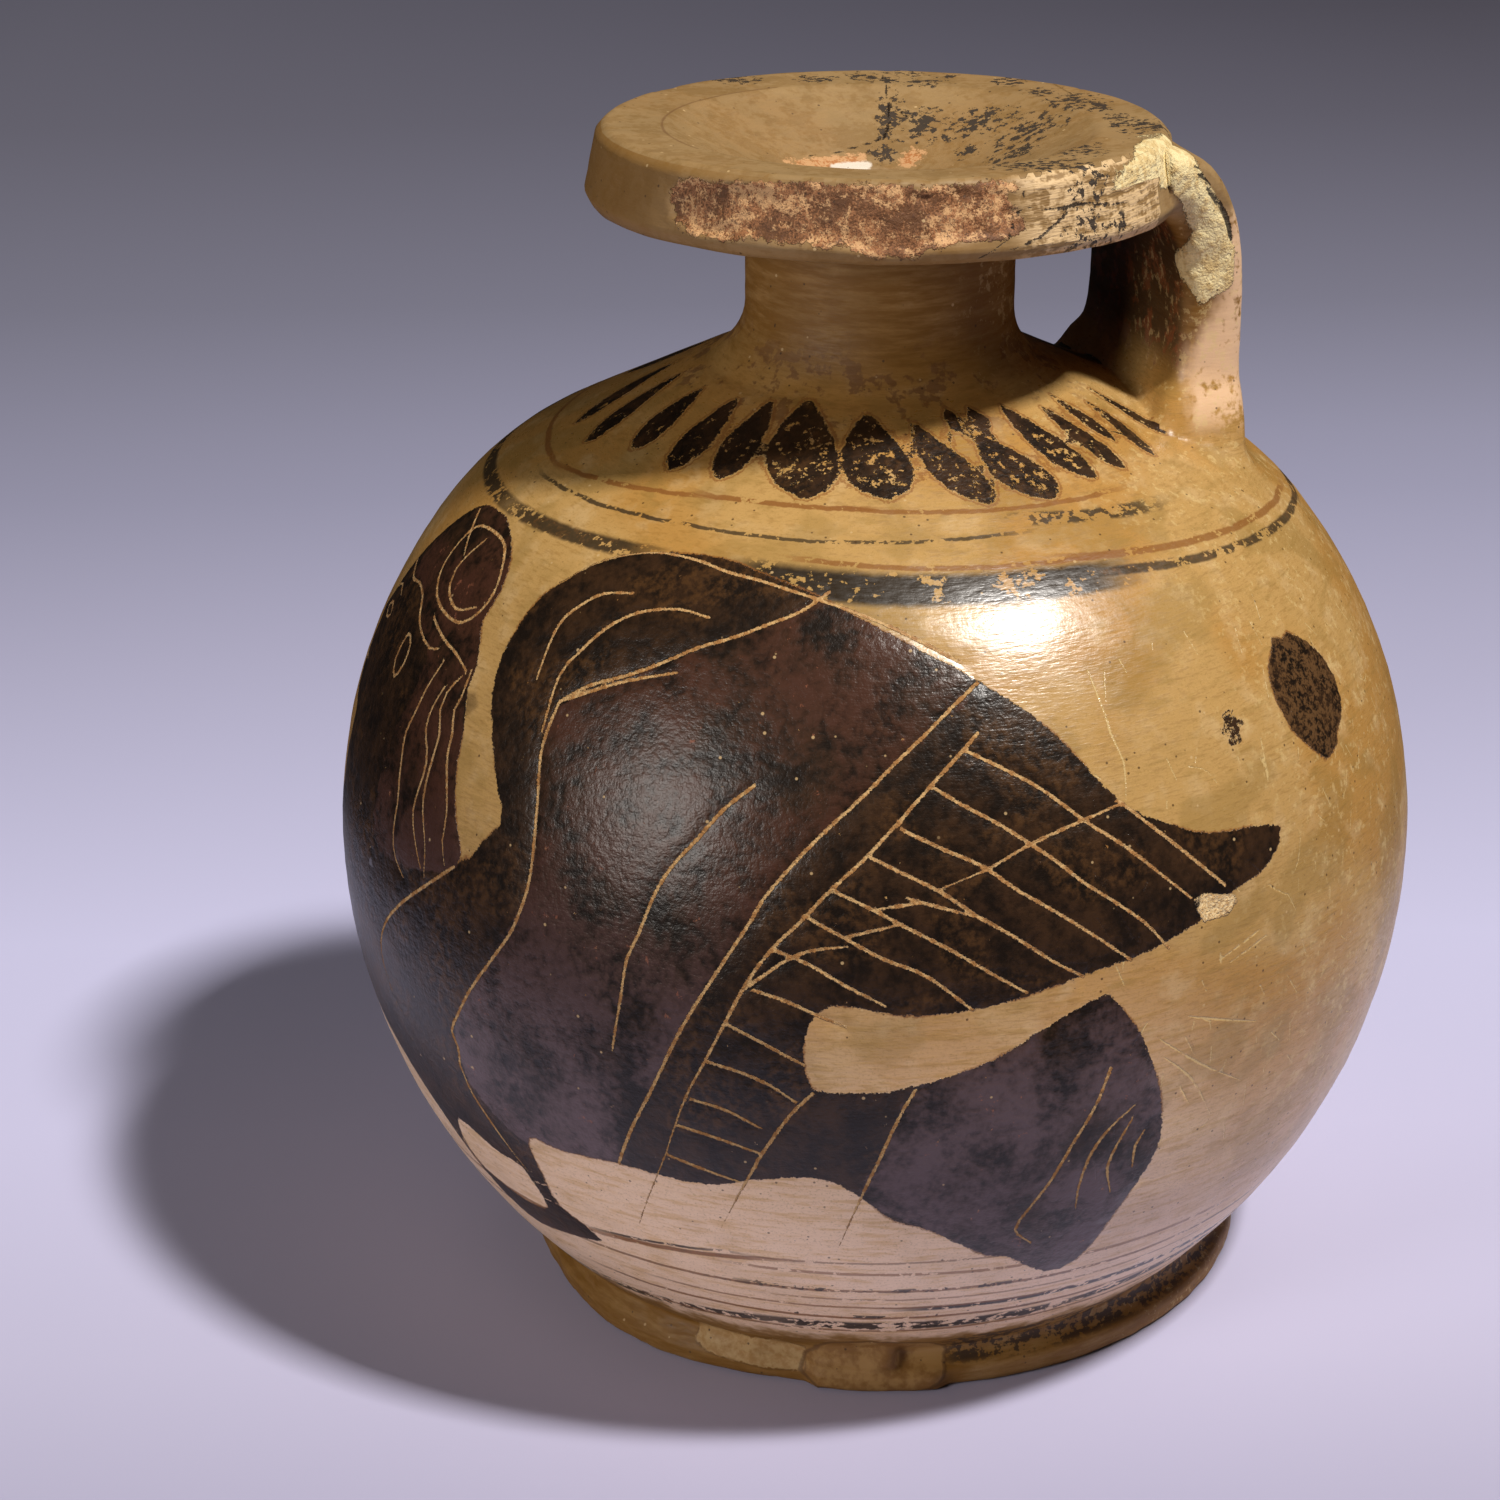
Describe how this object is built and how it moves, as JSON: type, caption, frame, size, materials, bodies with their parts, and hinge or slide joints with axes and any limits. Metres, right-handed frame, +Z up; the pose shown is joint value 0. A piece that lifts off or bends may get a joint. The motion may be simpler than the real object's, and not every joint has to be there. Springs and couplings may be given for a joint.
{
  "type": "aryballos",
  "caption": "Small footed round oil flask of fired clay: near-spherical body, short neck, wide plate mouth, strap handle and low ring foot.",
  "frame": {"origin": "on the axis of the round body, at the height of the foot ring's resting face", "axes": "+Z up along the body's axis, +X towards the strap handle"},
  "size_m": [0.104, 0.104, 0.1137],
  "materials": {
    "clay": "burnished buff clay with black-brown gloss paint, satin"
  },
  "bodies": {
    "root": {"aryballos": "clay"}
  },
  "joints": []
}
